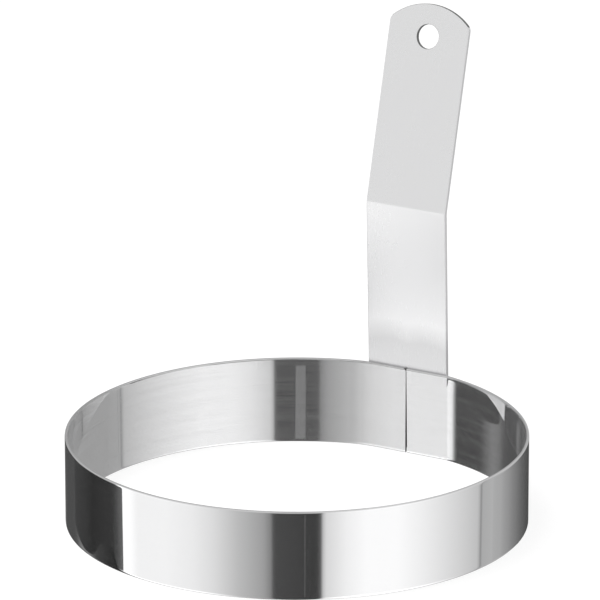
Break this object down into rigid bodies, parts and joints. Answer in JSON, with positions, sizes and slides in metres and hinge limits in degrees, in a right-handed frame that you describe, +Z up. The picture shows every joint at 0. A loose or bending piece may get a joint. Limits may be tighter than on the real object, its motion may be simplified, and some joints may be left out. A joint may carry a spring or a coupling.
{
  "type": "egg ring with handle",
  "caption": "Round open ring of thin polished steel strip with a tall, flat upright handle that bends outward and ends in a rounded tip with a hanging hole.",
  "frame": {"origin": "the ring's axis at the band's lower edge, where it stands on the griddle", "axes": "+Z up along the ring's axis, +Y from the axis toward the handle, which leans outward along +Y; +X to the right when looking along +Y from inside the ring"},
  "size_m": [0.102, 0.1126, 0.1025],
  "materials": {
    "polished_band": "mirror-polished stainless steel",
    "satin_strip": "satin stainless steel",
    "weld_metal": "as welded, hidden between the sheets"
  },
  "bodies": {
    "root": {"ring_band": "polished_band", "handle": "satin_strip", "spot_welds": "weld_metal"}
  },
  "joints": []
}
